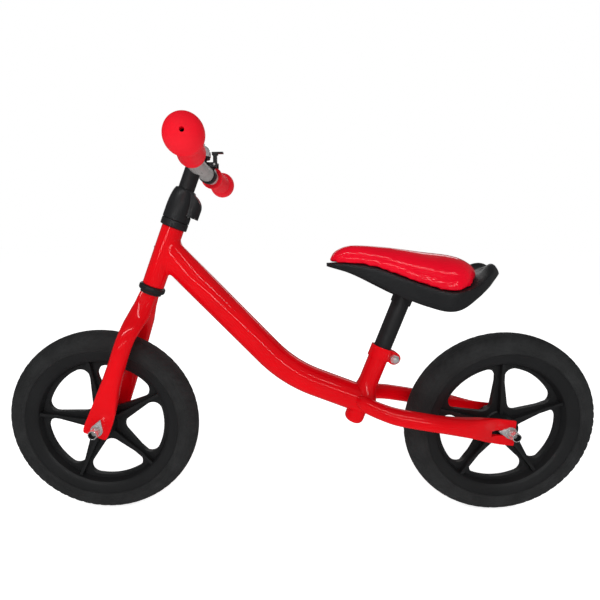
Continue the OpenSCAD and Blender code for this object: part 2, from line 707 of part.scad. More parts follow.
// Saddle outline by distance behind the nose: height of the base's edge, of its lowest rim,
// of the pad's crown, and half width of the base
edge_z = [[0, 387], [38, 384], [66, 379], [90, 370.5], [115, 361.5], [148, 352], [168, 353], [190, 361],
    [208, 376], [220, 386.5], [230, 387.5], [239, 381.5], [saddle_l, 374.5]];
rim_z = [[0, 382], [38, 370.5], [87, 348], [108, 338.5], [127, 332], [150, 327], [170, 330.5],
    [192, 344.5], [220, 362.5], [238, 370], [saddle_l, 372]];
crown_z = [[3, 389.5], [8, 400.5], [18, 408.5], [34, 412.8], [82, 410], [132, 403], [170, 399.5],
    [192, 391], [208, 377]];
half_w = [[0, 14], [10, 15.5], [38, 20.5], [66, 26.5], [90, 35], [115, 48.5], [138, 60],
    [155, saddle_w / 2], [172, saddle_w / 2 - 2], [192, 56], [210, 45], [225, 34], [saddle_l, 19]];
pad_half_w = [[3, 12], [10, 14.7], [38, 19], [66, 24.6], [90, 33], [115, 46.5], [138, 57.8],
    [155, saddle_w / 2 - 2.5], [170, 60], [181, 53], [189, 45], [208, 30]];
// Rise of the base's middle under the pad, how far the tail's edge rolls down, and the tail's dish
middle_rise = [[0, 0], [30, 4], [110, 8], [185, 8], [208, 0], [saddle_l, 0]];
tail_roll = [[0, 0], [185, 0], [205, 3], [220, 11], [232, 14], [saddle_l, 2]];
tail_dish = [[0, 0], [204, 0], [214, 4], [224, 6], [234, 3], [saddle_l, 0]];
base_stops = [0.3, 3, 8, 16, 28, 42, 58, 74, 90, 103, 115, 127, 138, 148, 158, 170, 181, 191, 200, 208, 216,
    224, 231, 236, 240, 243.5, saddle_l - 0.3];
pad_stops = [3.2, 5, 9, 15, 24, 36, 50, 66, 82, 98, 112, 125, 137, 148, 158, 167, 175, 182, 188, 193, 198,
    202, 205, 207, 207.8];
pad_end = 208;

function base_w(d) = smooth(half_w, d) * round_end(d + 1, 12) * round_end(saddle_l + 0.6 - d, 38);
function pad_w(d) = smooth(pad_half_w, d) * round_end(d - 2.9, 14) * round_end(pad_end + 0.1 - d, 22);
// Height of the base's upper face at the distance d and the sideways place y
function base_top(d, y) =
    let (q = min(abs(y) / max(base_w(d), 1), 1), t = max(0, (q - 0.45) / 0.55), edge = smooth(edge_z, d),
        roll = max(0, min(smooth(tail_roll, d), 0.75 * (edge - smooth(rim_z, d)))))
    edge + max(0, smooth(middle_rise, d)) * (1 - q * q) - roll * (1 - sqrt(max(0, 1 - t * t)))
        - max(0, smooth(tail_dish, d)) * max(0, 1 - 4 * q * q);

function base_ring(d, inset, drop) =
    let (w = max(base_w(d) - inset, 0.4), low = smooth(rim_z, d) - drop, x = saddle_nose_x - d)
    concat(
        [for (i = [0 : 12]) let (y = -w * cos(i * 15)) [x, y, base_top(d, y) - inset * 1.2]],
        [for (i = [0 : 8]) let (y = (w - 1.5) * cos(i * 22.5)) [x, y, low - 1.2 * sin(i * 22.5)]]);

function pad_ring(d) =
    let (w = pad_w(d), x = saddle_nose_x - d, low = smooth(edge_z, d) + 0.5,
        h = max(smooth(crown_z, d) - low, 1))
    concat(
        [for (i = [0 : 16]) let (o = oval(i * 11.25, w, h, 2.7))
            [x, -o[0], max(low + o[1], base_top(d, o[0]) + 0.8)]],
        [for (i = [1 : 9]) let (y = w * cos(i * 18)) [x, y, base_top(d, y) + 0.7]]);

module saddle_base() color(plastic_black) difference() {
    union() {
        difference() {
            loft([for (d = base_stops) base_ring(d, 0, 0)]);
            loft([for (d = base_stops) if (d > 12 && d < 232) base_ring(d - 1.1, 3, 2)]);
        }
        // Bosses that the bracket's screws bite into, taller in front
        for (dy = [-screw_dy, screw_dy]) {
            translate([post_x + screw_dx, dy, plate_z + plate_h]) cylinder(r = 5, h = 16);
            translate([post_x - screw_dx, dy, plate_z + plate_h]) cylinder(r = 5, h = 6);
        }
    }
    screw_places() translate([0, 0, plate_z]) cylinder(r = 2.5, h = plate_h + 3.5);
}

module saddle_pad() color(pad_red) loft([for (d = pad_stops) pad_ring(d)]);

// Bracket under the base: a socket on the seatpost with a plate that the screws pass
plate_z = 350;
plate_h = 5;
post_x = seat_x - (plate_z - seat_z) * tan(seat_tilt);
screw_dx = 17;
screw_dy = 17;

module saddle_bracket() color(tube_black) difference() {
    union() {
        seat_axis() translate([0, 0, socket_low]) cylinder(r = 14.4, h = 23);
        translate([post_x - 26, -24, plate_z]) cube([52, 48, plate_h]);
    }
    seat_axis() translate([0, 0, socket_low - 1]) cylinder(d = post_d, h = 18);
    translate([post_x - 40, -40, plate_z + plate_h]) cube([80, 80, 40]);
    screw_places() translate([0, 0, plate_z - 5]) cylinder(r = 2.5, h = 20);
}

module screw_places() for (dx = [-screw_dx, screw_dx], dy = [-screw_dy, screw_dy])
    translate([post_x + dx, dy, 0]) children();

module saddle_screws() color(zinc) screw_places() {
    translate([0, 0, plate_z - 1]) cylinder(r = 2.5, h = plate_h + 4.5);
    translate([0, 0, plate_z - 3]) cylinder(r = 4.5, h = 3);
}

head_tube();
main_tube();
seat_tube();
seat_weld();
left_stay();
right_stay();
seat_clamp();
seat_clamp_bolt();
lower_headset_bush();
upper_headset_bush();
rear_axle();
rear_axle_spacers();
rear_tab_washers();
rear_axle_nuts();
rear_axle_sleeves();
fork_steerer();
crown_race();
left_fork_leg();
right_fork_leg();
stem_clamp();
stem_clamp_bolt();
stem_cover();
front_axle();
front_axle_spacers();
front_tab_washers();
front_axle_nuts();
front_axle_sleeves();
stem_tube();
handlebar();
left_grip();
right_grip();
bell_base();
bell_dome();
bell_screw();
bell_lever_pin();
bell_lever();
front_tyre();
front_rim();
front_bearings();
rear_tyre();
rear_rim();
rear_bearings();
seatpost();
saddle_bracket();
saddle_base();
saddle_pad();
saddle_screws();
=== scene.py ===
"""Balance bike: the visual model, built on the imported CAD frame.

Shapes are worked out in millimetres in the CAD's own axes and turned into metres as each mesh is made.
"""

import json
import math

import bmesh
import bpy
from mathutils import Matrix, Vector, noise


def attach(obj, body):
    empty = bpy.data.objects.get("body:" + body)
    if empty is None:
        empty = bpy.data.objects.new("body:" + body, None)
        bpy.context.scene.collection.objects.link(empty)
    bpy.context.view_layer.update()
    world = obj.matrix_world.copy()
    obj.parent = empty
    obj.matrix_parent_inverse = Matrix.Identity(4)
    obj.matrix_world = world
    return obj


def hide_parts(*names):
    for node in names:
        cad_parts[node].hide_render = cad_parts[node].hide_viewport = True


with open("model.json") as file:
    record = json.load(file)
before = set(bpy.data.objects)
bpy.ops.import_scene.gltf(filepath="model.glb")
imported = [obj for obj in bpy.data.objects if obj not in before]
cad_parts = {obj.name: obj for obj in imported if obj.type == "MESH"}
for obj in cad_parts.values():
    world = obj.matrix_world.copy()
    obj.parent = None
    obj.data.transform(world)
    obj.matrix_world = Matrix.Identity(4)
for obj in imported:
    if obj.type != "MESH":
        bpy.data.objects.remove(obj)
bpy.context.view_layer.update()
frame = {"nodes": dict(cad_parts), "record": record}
NODES = frame["nodes"]

MM = 0.001

# ---------------------------------------------------------------- sizes (mm, degrees)

WHEEL_R = 143
AXLE_X = 302.5
STEER_TILT = 21.4
SEAT_TILT = 18.6
TYRE_R = 20
TYRE_CENTRE = WHEEL_R - TYRE_R
SEAM_R = 115
HEAD_R = 15.5
HEAD_LOW, HEAD_HIGH = 226, 314
MAIN_R = 21
MAIN_STEEP, MAIN_SHALLOW, MAIN_BEND = 45.5, 20.5, 200
SEAT_R = 14.3
SEAT_LOW, SEAT_HIGH = -111, 12
SEAT_X, SEAT_Z = -113.6, 250
MAIN_HEAD_S, MAIN_SEAT_S = 281, -73
HEAD_APPROACH = 46
WELD_R, WELD_REACH = 5, 8
FORK_TOP = 213.7
AXLE_SLOT_R = 4.2
DROP_IN, DROP_OUT, DROP_MID = 29, 33, 31
SLEEVE_BORE_R = 5.3
BAR_R = 11.1
SADDLE_L = 246
NOSE_X = -31
PAD_END = 208


def move(x, y, z):
    return Matrix.Translation((x, y, z))


def turn(axis, degrees):
    return Matrix.Rotation(math.radians(degrees), 4, axis)


MIRROR = Matrix.Scale(-1, 4, (0, 1, 0))
STEERING = move(AXLE_X, 0, WHEEL_R) @ turn("Y", -STEER_TILT)
SEAT_AXIS = move(SEAT_X, 0, SEAT_Z) @ turn("Y", -SEAT_TILT)
BAR_LEFT = move(149.77, 20.25, 516.4) @ turn("Z", 6.1) @ turn("X", -90)
HERE = Matrix.Identity(4)


# ---------------------------------------------------------------- curves through tables


def smooth(table, x):
    """Cubic curve through rows of (position, value), the same one the CAD uses."""
    last = len(table) - 1
    i = 0
    while i < last - 1 and x > table[i + 1][0]:
        i += 1

    def slope(k):
        a, b = max(k - 1, 0), min(k + 1, last)
        return (table[b][1] - table[a][1]) / (table[b][0] - table[a][0])

    h = table[i + 1][0] - table[i][0]
    u = min(max((x - table[i][0]) / h, 0), 1)
    return (
        (2 * u**3 - 3 * u**2 + 1) * table[i][1]
        + (u**3 - 2 * u**2 + u) * h * slope(i)
        + (3 * u**2 - 2 * u**3) * table[i + 1][1]
        + (u**3 - u**2) * h * slope(i + 1)
    )


def round_end(d, r):
    return 1 if d >= r else math.sqrt(max(0, 1 - (1 - d / r) ** 2))


def oval(angle, a, b, power):
    """Point of a rounded box with half sizes a and b; power 2 is an ellipse, more is squarer."""
    c, s = math.cos(angle), math.sin(angle)
    return (
        a * math.copysign(abs(c) ** (2 / power), c),
        b * math.copysign(abs(s) ** (2 / power), s),
    )


def steps(start, stop, count):
    return [start + (stop - start) * i / count for i in range(count + 1)]


# ---------------------------------------------------------------- materials


class Nodes:
    """Short calls for building a material's node tree."""

    def __init__(self, name):
        self.material = bpy.data.materials.new(name)
        self.material.use_nodes = True
        self.tree = self.material.node_tree
        self.shader = self.tree.nodes["Principled BSDF"]
        self.place = self.tree.nodes.new("ShaderNodeTexCoord").outputs["Object"]

    def add(self, kind, inputs=None, **settings):
        node = self.tree.nodes.new("ShaderNode" + kind)
        for key, value in settings.items():
            setattr(node, key, value)
        for key, value in (inputs or {}).items():
            if isinstance(value, bpy.types.NodeSocket):
                self.tree.links.new(value, node.inputs[key])
            else:
                node.inputs[key].default_value = value
        return node

    def noise(self, scale, detail=3.0, rough=0.55, stretch=None):
        vector = self.place
        if stretch:
            vector = self.add("VectorMath", {0: vector, 1: stretch}, operation="MULTIPLY").outputs[0]
        inputs = {"Vector": vector, "Scale": scale, "Detail": detail, "Roughness": rough}
        return self.add("TexNoise", inputs).outputs["Fac"]

    def cells(self, scale, feature="F1"):
        inputs = {"Vector": self.place, "Scale": scale}
        return self.add("TexVoronoi", inputs, feature=feature).outputs["Distance"]

    def spread(self, value, low, high, to_low, to_high):
        inputs = {"Value": value, "From Min": low, "From Max": high, "To Min": to_low, "To Max": to_high}
        return self.add("MapRange", inputs, clamp=True).outputs["Result"]

    def bump(self, height, strength, distance, normal=None):
        inputs = {"Height": height, "Strength": strength, "Distance": distance}
        if normal:
            inputs["Normal"] = normal
        return self.add("Bump", inputs).outputs["Normal"]

    def mix(self, factor, a, b):
        node = self.add("Mix", data_type="RGBA")
        for socket, value in ((node.inputs[0], factor), (node.inputs[6], a), (node.inputs[7], b)):
            if isinstance(value, bpy.types.NodeSocket):
                self.tree.links.new(value, socket)
            else:
                socket.default_value = value
        return node.outputs[2]

    def set(self, **values):
        for key, value in values.items():
            socket = self.shader.inputs[key.replace("_", " ")]
            if isinstance(value, bpy.types.NodeSocket):
                self.tree.links.new(value, socket)
            else:
                socket.default_value = value


def tone(colour, factor):
    return tuple(c * factor for c in colour) + (1,)


def paint(name, colour, rough=0.09):
    """Sprayed gloss paint: faint orange peel, faint colour drift, hairline scuffs in the gloss."""
    n = Nodes(name)
    drift = n.noise(14, 2)
    scuffs = n.noise(260, 4, 0.7, stretch=(0.25, 1, 1))
    n.set(
        Base_Color=n.mix(n.spread(drift, 0.35, 0.65, 0, 1), tone(colour, 0.93), tone(colour, 1.05)),
        Roughness=n.spread(scuffs, 0.45, 0.75, rough, rough + 0.08),
        Normal=n.bump(n.noise(420, 2, 0.4), 0.012, 0.0004),
        Specular_IOR_Level=0.35,
        Coat_Weight=0.3,
        Coat_Roughness=0.05,
    )
    return n.material


def moulded(name, colour, rough, grain=1500, depth=0.00012, strength=0.35, mottle=0.12, shine=0.5):
    """Moulded plastic or rubber: fine spark-eroded grain, uneven sheen and a little dust."""
    n = Nodes(name)
    fine = n.noise(grain, 2, 0.6)
    cloud = n.noise(22, 4, 0.6)
    n.set(
        Base_Color=n.mix(
            n.spread(cloud, 0.35, 0.7, 0, 1), tone(colour, 1 - mottle), tone(colour, 1 + mottle)
        ),
        Roughness=n.spread(n.noise(60, 3), 0.3, 0.7, rough - 0.05, rough + 0.07),
        Normal=n.bump(fine, strength, depth),
        Specular_IOR_Level=shine,
    )
    return n.material


def metal(name, colour, rough, brush=None, specks=0.0, metallic=0.6):
    """Plated or bare metal: fine brushing lines, cloudy gloss and small pits."""
    n = Nodes(name)
    lines = n.noise(900, 3, 0.6, stretch=brush or (1, 1, 1))
    cloud = n.noise(45, 3, 0.6)
    pits = n.cells(700)
    n.set(
        Base_Color=n.mix(n.spread(cloud, 0.35, 0.7, 0, 1), tone(colour, 0.86), tone(colour, 1.04)),
        Metallic=metallic,
        Roughness=n.spread(lines, 0.3, 0.7, rough, rough + 0.1),
        Normal=n.bump(lines, 0.10 + specks, 0.0002, n.bump(pits, specks, 0.0003)),
    )
    return n.material


def foam_rubber(name, colour):
    """Closed-cell foam tyre: matt skin with tiny pores, rubbed paler where it meets the ground."""
    n = Nodes(name)
    pores = n.cells(1400)
    skin = n.noise(500, 4, 0.65)
    dust = n.noise(35, 5, 0.65)
    n.set(
        Base_Color=n.mix(n.spread(dust, 0.4, 0.75, 0, 1), tone(colour, 0.85), tone(colour, 1.5)),
        Roughness=n.spread(skin, 0.3, 0.7, 0.62, 0.78),
        Normal=n.bump(pores, 0.22, 0.0003, n.bump(skin, 0.30, 0.0003)),
    )
    return n.material


def vinyl(name, colour):
    """Soft vinyl cover: pebbled leather grain with creases between the pebbles."""
    n = Nodes(name)
    pebbles = n.cells(620, "SMOOTH_F1")
    wave = n.noise(55, 3, 0.5)
    drift = n.noise(18, 3)
    n.set(
        Base_Color=n.mix(n.spread(drift, 0.35, 0.68, 0, 1), tone(colour, 0.92), tone(colour, 1.05)),
        Roughness=n.spread(n.noise(120, 3), 0.3, 0.7, 0.11, 0.17),
        Normal=n.bump(pebbles, 0.07, 0.0003, n.bump(wave, 0.08, 0.0010)),
        Specular_IOR_Level=0.3,
        Coat_Weight=0.2,
        Coat_Roughness=0.06,
    )
    return n.material


MATERIALS = {
    "frame_paint": paint("red_gloss_paint", (0.67, 0.001, 0.005)),
    "black_plastic": moulded("black_plastic_satin", (0.011, 0.0115, 0.0125), 0.34),
    "black_tube": moulded("black_powder_coat", (0.012, 0.012, 0.013), 0.36, grain=900, strength=0.5),
    "silver_tube": metal(
        "silver_bar_metal", (0.46, 0.44, 0.43), 0.26, brush=(1, 0.08, 1), metallic=0.35
    ),
    "grip": moulded(
        "red_grip_rubber", (0.72, 0.002, 0.013), 0.55, grain=1300, strength=0.4, mottle=0.05, shine=0.2
    ),
    "saddle_cover": vinyl("red_vinyl_cover", (0.76, 0.001, 0.016)),
    "tyre": foam_rubber("foam_tyre_rubber", (0.014, 0.0145, 0.015)),
    "rim": moulded("rim_nylon", (0.010, 0.0103, 0.011), 0.42, grain=1100, strength=0.45),
    "bright_plating": metal("bright_chrome", (0.92, 0.92, 0.93), 0.1, specks=0.03, metallic=0.72),
    "zinc_plating": metal("zinc_plate", (0.62, 0.62, 0.60), 0.24, specks=0.1, metallic=0.5),
}
# Near-black matt material that stands in for the shade inside the axle sleeves' bores: painted shade
BORE_PAINTED_SHADE = moulded("bore_painted_shade", (0.01, 0.01, 0.01), 0.7)


# ---------------------------------------------------------------- mesh helpers


def piece(name, verts, faces, slot, body, replaces=(), place=HERE, sharp=35):
    """A mesh given in millimetres, as a piece that rides on a body and takes its finish from a slot."""
    mesh = bpy.data.meshes.new(name)
    mesh.from_pydata([(place @ Vector(v)) * MM for v in verts], [], faces)
    obj = bpy.data.objects.new(name, mesh)
    bpy.context.scene.collection.objects.link(obj)
    tidy(mesh, sharp)
    return dress(obj, slot, body, replaces)


def tidy(mesh, sharp):
    """Weld the mesh's seams, turn its faces outwards and shade it smooth up to the sharp angle."""
    bm = bmesh.new()
    bm.from_mesh(mesh)
    bmesh.ops.remove_doubles(bm, verts=bm.verts, dist=1e-6)
    bmesh.ops.recalc_face_normals(bm, faces=bm.faces)
    bm.to_mesh(mesh)
    bm.free()
    mesh.shade_smooth()
    mesh.set_sharp_from_angle(angle=math.radians(sharp))


def dress(obj, slot, body, replaces=()):
    obj.data.materials.clear()
    obj.data.materials.append(MATERIALS[slot])
    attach(obj, body)
    if replaces:
        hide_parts(*replaces)
    return obj


def loft(rings, closed=True):
    """Vertices and faces through rings of equal length, with its ends closed from their middles."""
    n, m = len(rings[0]), len(rings)
    verts = [tuple(p) for ring in rings for p in ring]
    faces = []
    for j in range(m - 1):
        for i in range(n):
            a, b = j * n + i, j * n + (i + 1) % n
            faces.append((a, b, b + n, a + n))
    if closed:
        for row, ring in ((0, rings[0]), (m - 1, rings[-1])):
            verts.append(tuple(sum(p[k] for p in ring) / n for k in range(3)))
            faces += [(len(verts) - 1, row * n + i, row * n + (i + 1) % n) for i in range(n)]
    return verts, faces


def revolve(profile, count=96, closed=False):
    """Turns (radius, height) points about Z. closed joins the last point to the first."""
    n = len(profile)
    verts, faces = [], []
    for k in range(count):
        c, s = math.cos(2 * math.pi * k / count), math.sin(2 * math.pi * k / count)
        verts += [(r * c, r * s, z) for r, z in profile]
    for k in range(count):
        for i in range(n if closed else n - 1):
            a, b = k * n + i, k * n + (i + 1) % n
            c, d = (k + 1) % count * n + (i + 1) % n, (k + 1) % count * n + i
            faces.append((a, b, c, d))
    return verts, faces


def apply_modifiers(obj):
    """Turns what the modifiers make of the object into its mesh."""
    graph = bpy.context.evaluated_depsgraph_get()
    graph.update()
    mesh = bpy.data.meshes.new_from_object(obj.evaluated_get(graph))
    obj.modifiers.clear()
    obj.data = mesh


def cut(obj, cutter_parts):
    """Cuts a list of (verts, faces, place) solids out of the object."""
    for k, (verts, faces, place) in enumerate(cutter_parts):
        mesh = bpy.data.meshes.new("cutter")
        mesh.from_pydata([(place @ Vector(v)) * MM for v in verts], [], faces)
        tidy(mesh, 30)
        cutter = bpy.data.objects.new("cutter", mesh)
        bpy.context.scene.collection.objects.link(cutter)
        change = obj.modifiers.new("cut", "BOOLEAN")
        change.operation, change.solver, change.object = "DIFFERENCE", "EXACT", cutter
        apply_modifiers(obj)
        bpy.data.objects.remove(cutter)


def rod(r, z0, z1, count=40):
    return loft([[(r * math.cos(a), r * math.sin(a), z) for a in angles(count)] for z in (z0, z1)])


def angles(count):
    return [2 * math.pi * i / count for i in range(count)]


def finish_cad_nodes():
    """Gives every CAD node the material of its slot."""
    for name, obj in NODES.items():
        for material_slot in obj.material_slots:
            material_slot.material = MATERIALS[slot_of(name)]


# ---------------------------------------------------------------- frame tubes


def main_ends():
    """The main tube's two end points and where its straight stretches would cross, in X and Z."""
    tilt, lean = math.radians(STEER_TILT), math.radians(SEAT_TILT)
    start = (AXLE_X - MAIN_HEAD_S * math.sin(tilt), WHEEL_R + MAIN_HEAD_S * math.cos(tilt))
    end = (SEAT_X - MAIN_SEAT_S * math.sin(lean), SEAT_Z + MAIN_SEAT_S * math.cos(lean))
    m, k = math.tan(math.radians(MAIN_STEEP)), math.tan(math.radians(MAIN_SHALLOW))
    x = (end[1] - start[1] + m * start[0] - k * end[0]) / (m - k)
    return start, (x, start[1] + m * (x - start[0])), end


def main_path():
    """Centre line of the main tube from its rear end to near the head tube, as (x, z, slope)."""
    start, cross, end = main_ends()
    steep, shallow = math.radians(MAIN_STEEP), math.radians(MAIN_SHALLOW)
    tangent = MAIN_BEND * math.tan((steep - shallow) / 2)
    low = Vector(cross) - tangent * Vector((math.cos(shallow), math.sin(shallow)))
    high = Vector(cross) + tangent * Vector((math.cos(steep), math.sin(steep)))
    centre = high + MAIN_BEND * Vector((-math.sin(steep), math.cos(steep)))
    rear = Vector(end) - 5 * Vector((math.cos(shallow), math.sin(shallow)))
    front = Vector(start) - HEAD_APPROACH * Vector((math.cos(steep), math.sin(steep)))
    path = [(*rear.lerp(low, u), shallow) for u in steps(0, 1, 14)]
    for a in steps(shallow, steep, 34)[1:]:
        path.append((centre.x + MAIN_BEND * math.sin(a), centre.y - MAIN_BEND * math.cos(a), a))
    path += [(*high.lerp(front, u), steep) for u in steps(0, 1, 16)[1:]]
    return path


def within(r, y):
    """Keeps y just inside a cylinder of radius r, where its side isn't yet edge on."""
    limit = r - 0.35
    return max(-limit, min(limit, y))


def reach_cylinder(point, direction, r, frame_matrix):
    """Distance from the point along the direction to a cylinder about the frame's Z axis."""
    back = frame_matrix.inverted()
    p, d = back @ Vector(point), back.to_3x3() @ Vector(direction)
    p.y = within(r, p.y)
    a, b, c = d.x**2 + d.y**2, p.x * d.x + p.y * d.y, p.x**2 + p.y**2 - r**2
    return (-b - math.sqrt(max(b * b - a * c, 0))) / a


def make_main_tube():
    """Bent tube, narrowed in front to the head tube's width, with a hollow weld round the joint."""
    start = main_ends()[0]
    count = 72
    narrow = (HEAD_R - 0.4) / MAIN_R
    taper_start, taper_length = 20, 60

    def ring_point(x, z, slope, a, grow, y_scale):
        up = math.sin(a)
        out = Vector((-math.sin(slope) * up, math.cos(a) * y_scale, math.cos(slope) * up))
        return Vector((x, 0, z)) + out * (MAIN_R + grow)

    rings = []
    for x, z, slope in main_path():
        distance = math.hypot(x - start[0], z - start[1])
        t = min(max((distance - taper_start) / taper_length, 0), 1)
        y_scale = narrow + (1 - narrow) * t * t * (3 - 2 * t)
        rings.append([ring_point(x, z, slope, a, 0, y_scale) for a in angles(count)])
    x, z, slope = main_path()[-1]
    forward = Vector((math.cos(slope), 0, math.sin(slope)))
    ends = [(0, 22), (0, 14)]
    for a in steps(0, math.pi / 2, 8):
        ends.append((WELD_R * (1 - math.cos(a)), WELD_REACH * (1 - math.sin(a))))
    for grow, gap in ends:
        ring = []
        for a in angles(count):
            base = ring_point(x, z, slope, a, grow, narrow)
            base.y = within(HEAD_R, base.y)
            reach = reach_cylinder(base, forward, HEAD_R - 0.1, STEERING)
            ring.append(base + forward * (reach - gap))
        rings.append(ring)
    verts, faces = loft(rings)
    obj = piece("main_tube_skin", verts, faces, "frame_paint", "frame", ["main_tube"])
    cut(obj, [(*rod(HEAD_R - 0.9, 180, 340), STEERING), seat_hollow()])
    tidy(obj.data, 35)


def seat_hollow():
    """Cutter for the space inside the seat tube, where the post slides."""
    return (*rod(SEAT_R - 0.8, -140, 40), SEAT_AXIS)


def make_head_tube():
    """Plain tube with its two edges broken."""
    inner = HEAD_R - 1.6
    profile = [(inner, HEAD_LOW), (HEAD_R - 0.6, HEAD_LOW), (HEAD_R, HEAD_LOW + 0.7)]
    profile += [(HEAD_R, z) for z in steps(HEAD_LOW + 4, HEAD_HIGH - 4, 12)]
    profile += [(HEAD_R, HEAD_HIGH - 0.7), (HEAD_R - 0.6, HEAD_HIGH), (inner, HEAD_HIGH)]
    verts, faces = revolve(profile, 96, closed=True)
    piece("head_tube_skin", verts, faces, "frame_paint", "frame", ["head_tube"], STEERING)


def make_seat_tube():
    """Tube with a closed rounded foot and a weld that swells out on to the main tube."""
    foot = 9
    profile = [(0, SEAT_LOW)]
    for a in steps(0, math.pi / 2, 12)[1:]:
        profile.append((SEAT_R - foot + foot * math.sin(a) ** 0.9, SEAT_LOW + foot - foot * math.cos(a)))
    profile += [(SEAT_R, z) for z in steps(SEAT_LOW + foot + 4, -72, 6)]
    for u in steps(0, 1, 14):
        profile.append((SEAT_R + 6.7 * (1 - u) ** 2.2, -66 + 30 * u))
    profile += [(SEAT_R, z) for z in steps(-30, SEAT_HIGH - 0.6, 8)]
    profile += [(SEAT_R - 0.5, SEAT_HIGH), (SEAT_R - 1.45, SEAT_HIGH), (SEAT_R - 1.45, SEAT_LOW + 12.5)]
    profile.append((0, SEAT_LOW + 12.5))
    verts, faces = revolve(profile, 80)
    piece("seat_tube_skin", verts, faces, "frame_paint", "frame", ["seat_tube", "seat_weld"], SEAT_AXIS)


STAY_Y = [(-310, DROP_MID), (-296, DROP_MID), (-289, DROP_MID), (-279, 31.8), (-250, 41), (-205, 49.5),
          (-165, 51), (-130, 47.5), (-105, 35), (-85, 22), (-68, 13)]
STAY_Z = [(-310, 141.5), (-284, 144.5), (-262, 150), (-250, 153.5), (-205, 162.2), (-150, 171.2),
          (-120, 175.3), (-95, 180.5), (-68, 188)]
STAY_A = [(-310, 19.5), (-304, 19.5), (-284, 19.5), (-262, 17.2), (-235, 14.2), (-205, 12.7),
          (-180, 12.3), (-68, 12.3)]
STAY_B = [(-310, 2), (-296, 2), (-284, 2), (-262, 5.5), (-235, 10), (-205, 11.9), (-180, 12.3),
          (-140, 12.3), (-110, 13.5), (-68, 12.3)]
LEG_Y = [(-11, DROP_MID), (9, DROP_MID), (22, DROP_MID), (55, 35.5), (90, 40.5), (125, 42), (148, 38.5),
         (166, 28.5), (180, 15), (192, 10), (FORK_TOP, 4.5)]
LEG_X = [(-11, 1), (40, 0), (110, 0.5), (150, 1.8), (185, 1.4), (FORK_TOP, 1)]
LEG_A = [(-11, 16.5), (-5, 18.7), (18, 18.5), (50, 15.8), (80, 13.2), (110, 12), (150, 12),
         (180, 14.2), (196, 13), (FORK_TOP, 11.4)]
LEG_B = [(-11, 2), (9, 2), (20, 2), (45, 5.5), (75, 10.2), (110, 12), (150, 12),
         (166, 12.8), (180, 15.1), (192, 13), (FORK_TOP, 8.5)]


def squareness(b, r):
    """How square a flattened tube's section is, by its half thickness."""
    return min(max(2 + 6 * (1 - (b - 2) / (r - 2)), 2), 8)


def blade(tables, stops, r, point, cap, tip=1000):
    """Loft through flattening sections, with a rounded edge at its flat end and a dome at the tip."""
    side, height, half_a, half_b = tables
    rings = []
    for s, shrink in stops:
        a, b = smooth(half_a, s) - shrink * cap, smooth(half_b, s) - shrink * 0.7
        a, b = a * round_end(tip - s, 15), b * round_end(tip - s, 15)
        power = squareness(smooth(half_b, s), r)
        section = [oval(angle + 0.02, a, b, power) for angle in angles(56)]
        rings.append([point(s, o, smooth(side, s), smooth(height, s)) for o in section])
    return loft(rings)


def make_stays():
    """Rear stays: flattened into slotted dropouts behind, domed beside the seat tube in front."""
    stops = [(-310, 1), (-309.7, 0.4), (-309, 0)] + [(x, 0) for x in steps(-307, -92, 58)]
    stops += [(x, 0) for x in (-90, -88, -86, -84, -82.5, -81, -80, -79, -78.3, -77.8, -77.5)]

    def point(s, o, y, z):
        return s, y - o[1], z + o[0]

    verts, faces = blade((STAY_Y, STAY_Z, STAY_A, STAY_B), stops, 12.3, point, 0.7, -77.3)
    slot = axle_slot(move(-AXLE_X, 0, WHEEL_R) @ turn("Y", -90))
    for name, side in (("left_stay", HERE), ("right_stay", MIRROR)):
        obj = piece(name + "_skin", verts, faces, "frame_paint", "frame", [name], side)
        cut(obj, [(v, f, side @ m) for v, f, m in slot] + [seat_hollow()])
        tidy(obj.data, 40)


def make_fork_legs():
    """Fork legs: flattened into slotted dropouts below, joined on the middle plane above."""
    stops = [(-11, 1), (-10.7, 0.4), (-10, 0)] + [(s, 0) for s in steps(-8, FORK_TOP, 64)]

    def point(s, o, y, x):
        return x + o[0], max(y + o[1], 0), s

    verts, faces = blade((LEG_Y, LEG_X, LEG_A, LEG_B), stops, 12, point, 1.5)
    for name, side in (("left_fork_leg", HERE), ("right_fork_leg", MIRROR)):
        obj = piece(name + "_skin", verts, faces, "frame_paint", "fork", [name], side @ STEERING)
        cut(obj, [(v, f, side @ STEERING @ m) for v, f, m in axle_slot(HERE)])
        tidy(obj.data, 40)


def axle_slot(place):
    """Cutters for the slot that the axle slides into, open along the place's negative Z."""
    hole = rod(AXLE_SLOT_R, DROP_IN - 5, DROP_OUT + 5)
    y0, y1, r = DROP_IN - 5, DROP_OUT + 5, AXLE_SLOT_R
    block = loft([[(-r, y0, z), (r, y0, z), (r, y1, z), (-r, y1, z)] for z in (-30, 0)])
    return [(*hole, place @ turn("X", -90)), (*block, place)]


def make_rivet():
    """Small domed plug in the front of the head tube."""
    dome = [(0, 1.1), (0.9, 1.0), (1.7, 0.7), (2.2, 0.2), (2.3, -0.4), (0, -0.4)]
    verts, faces = revolve(dome, 32)
    place = STEERING @ move(HEAD_R, 0, 279) @ turn("Y", 90)
    piece("head_rivet", verts, faces, "black_plastic", "frame", (), place)


# ---------------------------------------------------------------- moulded and metal parts


